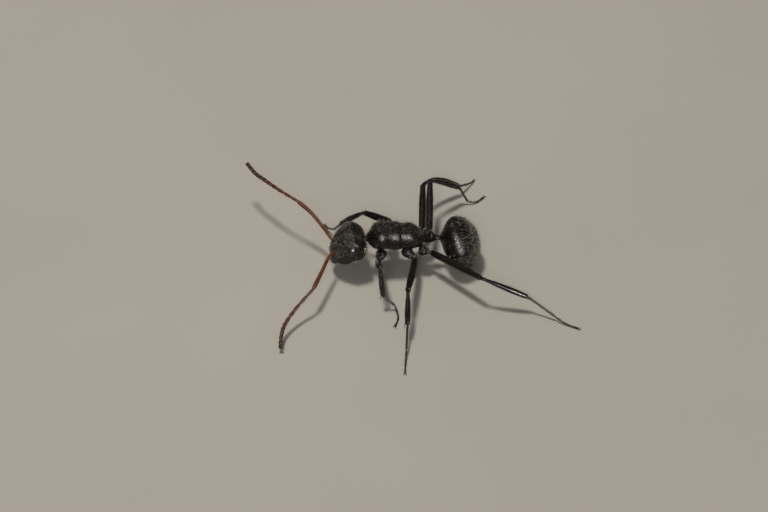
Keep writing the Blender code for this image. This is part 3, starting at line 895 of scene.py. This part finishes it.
# How far the middle of each scape stands off the straight line from bend to elbow.
SCAPE_BOWS = {"left": (0.0, 0.01, 0.0), "right": (-0.035, 0.06, 0.04)}
SCAPE_SIZES = ((0.0, 0.07), (0.10, 0.08), (0.20, 0.052), (0.36, 0.075), (0.65, 0.092),
               (0.93, 0.108), (1.0, 0.085))
WHIP_SIZES = ((0.0, 0.075), (0.5, 0.092), (1.0, 0.07))
WHIP_RINGS = 11
RING_NECK = 0.052
SCAPE_SHELL = shell_finish("scape_shell", (0.085, 0.022, 0.006), (0.24, 0.072, 0.020),
                           roughness=0.28, cell=0.020, depth=0.003)
WHIP_SHELL = shell_finish("whip_shell", (0.050, 0.011, 0.006), (0.165, 0.040, 0.016),
                          roughness=0.32, cell=0.018, depth=0.003)
TIP_SHELL = shell_finish("whip_tip_shell", (0.018, 0.011, 0.009), (0.070, 0.030, 0.020),
                         roughness=0.42, cell=0.018, depth=0.003)

for count, (word, joints) in enumerate(FEELERS.items()):
    root, mouth, bend, elbow = (np.array(joint) for joint in joints[:4])
    middle = (bend + elbow) / 2 + SCAPE_BOWS[word]
    scape = limb_surface((root, mouth, bend, middle, elbow), SCAPE_SIZES)
    skin("scape_shell_" + word, scape, 60, 28, SCAPE_SHELL, "feeler_shell", "scape_" + word)
    whip = np.array(joints[3:])
    shares = np.linspace(0.0, 1.0, WHIP_RINGS + 1) ** 0.96
    rings = []
    for number, (start, stop) in enumerate(zip(shares, shares[1:])):
        spots = flowing(whip, np.array([start, (start + stop) / 2, stop]))
        fat = 0.078 + 0.006 * min(number, 5)
        end = 0.045 if number == WHIP_RINGS - 1 else 0.8 * fat
        rings.append(limb_surface(spots, ((0.0, RING_NECK), (0.25, fat * 0.92), (0.7, fat),
                                          (1.0, end))))
    half = (WHIP_RINGS + 1) // 2
    base_thread, tip_thread = [core(flowing(whip, np.linspace(*part, 9)), RING_NECK) for part in
                               ((0.0, shares[half] + 0.01),
                                (shares[half] - 0.01, shares[-1] - 0.02))]
    joined_skins("whip_base_" + word, rings[:half] + [base_thread], 18, 22, WHIP_SHELL,
                 "feeler_shell", "funiculus_base_" + word)
    joined_skins("whip_tip_" + word, rings[half:] + [tip_thread], 18, 22, TIP_SHELL,
                 "feeler_shell", "funiculus_tip_" + word)
    whole = limb_surface(whip, WHIP_SIZES)
    coat("scape_down_" + word, scape, 160, everywhere, downhill(root, elbow), length=0.07,
         lift=25.0, width=0.008, finish=PALE_HAIR, seed=200 + count)
    coat("whip_down_" + word, whole, 300, everywhere, downhill(whip[0], whip[-1]), length=0.05,
         lift=30.0, width=0.006, finish=PALE_HAIR, seed=210 + count)

# ---------------------------------------------------------------------------------------
# Floor, light and camera.  A plain pale floor under a pale sky; a soft key lamp almost
# overhead, a weak fill by the camera and two lamps that only give highlights.
# The camera looks down at 45 degrees from the ant's left.
SKY_TOP, SKY_EDGE = 0.20, 0.03
LAMP_TINT = (1.0, 0.975, 0.94)


def floor_finish():
    """Matt pale card, faintly cloudy."""
    made = bpy.data.materials.new("pale_floor")
    made.use_nodes = True
    nodes, links = made.node_tree.nodes, made.node_tree.links
    shader = nodes["Principled BSDF"]
    shader.inputs["Roughness"].default_value = 0.85
    where = nodes.new("ShaderNodeTexCoord")
    mottle = nodes.new("ShaderNodeTexNoise")
    mottle.inputs["Scale"].default_value = 60.0
    ramp = nodes.new("ShaderNodeValToRGB")
    ramp.color_ramp.elements[0].color = (0.42, 0.39, 0.34, 1.0)
    ramp.color_ramp.elements[1].color = (0.47, 0.44, 0.385, 1.0)
    links.new(where.outputs["Object"], mottle.inputs["Vector"])
    links.new(mottle.outputs["Fac"], ramp.inputs["Fac"])
    links.new(ramp.outputs["Color"], shader.inputs["Base Color"])
    return made


floor_mesh = bpy.data.meshes.new("floor")
HALF_FLOOR = 0.6
floor_mesh.from_pydata([(-HALF_FLOOR, -HALF_FLOOR, 0), (HALF_FLOOR, -HALF_FLOOR, 0),
                        (HALF_FLOOR, HALF_FLOOR, 0), (-HALF_FLOOR, HALF_FLOOR, 0)],
                       [], [(0, 1, 2, 3)])
floor_mesh.materials.append(floor_finish())
floor = bpy.data.objects.new("floor", floor_mesh)
bpy.context.scene.collection.objects.link(floor)

world = bpy.data.worlds.new("studio")
world.use_nodes = True
sky_nodes, sky_links = world.node_tree.nodes, world.node_tree.links
sky_way = sky_nodes.new("ShaderNodeTexCoord")
sky_height = sky_nodes.new("ShaderNodeSeparateXYZ")
sky_fade = sky_nodes.new("ShaderNodeMapRange")
sky_fade.interpolation_type = "SMOOTHSTEP"
sky_fade.inputs["To Min"].default_value = SKY_EDGE
sky_fade.inputs["To Max"].default_value = SKY_TOP
sky_nodes["Background"].inputs["Color"].default_value = (1.0, 0.98, 0.95, 1.0)
sky_links.new(sky_way.outputs["Generated"], sky_height.inputs["Vector"])
sky_links.new(sky_height.outputs["Z"], sky_fade.inputs["Value"])
sky_links.new(sky_fade.outputs["Result"], sky_nodes["Background"].inputs["Strength"])
bpy.context.scene.world = world

AIM = np.array([0.520, -0.598, 1.2])
LOOK_AT = Vector(((AIM + MIDLINE) * MM).tolist())
TO_CAMERA = Vector((0.7044, -0.0616, 0.7071)).normalized()
CAMERA_AWAY = 0.192
LAMP_AWAY = 0.20


def lamp(name, way, size, power, shade=True, glint=True):
    """A round lamp: without shade it only glints, and without glint it only lights."""
    made = bpy.data.lights.new(name, "AREA")
    made.shape = "DISK"
    made.size = size
    made.energy = power
    made.color = LAMP_TINT
    thing = bpy.data.objects.new(name, made)
    thing.location = LOOK_AT + Vector(way).normalized() * LAMP_AWAY
    thing.rotation_euler = (-Vector(way)).to_track_quat("-Z", "Y").to_euler()
    thing.visible_camera = False
    thing.visible_diffuse = shade
    thing.visible_glossy = glint
    bpy.context.scene.collection.objects.link(thing)


KEY_WAY = (-0.16, -0.16, 1.00)
FRONT_WAY = (0.71, -0.14, 0.65)
GLINT_WAY = (0.84, 0.22, 0.44)
lamp("key", KEY_WAY, 0.035, 0.25, glint=False)
lamp("key_glint", KEY_WAY, 0.03, 0.07, shade=False)
lamp("front", FRONT_WAY, 0.045, 0.06, glint=False)
lamp("front_glint", GLINT_WAY, 0.045, 0.58, shade=False)

camera_data = bpy.data.cameras.new("camera")
camera_data.lens = 180.0
camera_data.sensor_width = 36.0
camera_data.clip_start = 0.01
camera_data.clip_end = 2.0
camera = bpy.data.objects.new("camera", camera_data)
camera.location = LOOK_AT + TO_CAMERA * CAMERA_AWAY
camera.rotation_euler = (-TO_CAMERA).to_track_quat("-Z", "Y").to_euler()
bpy.context.scene.collection.objects.link(camera)
bpy.context.scene.camera = camera
bpy.context.scene.view_settings.view_transform = "Standard"
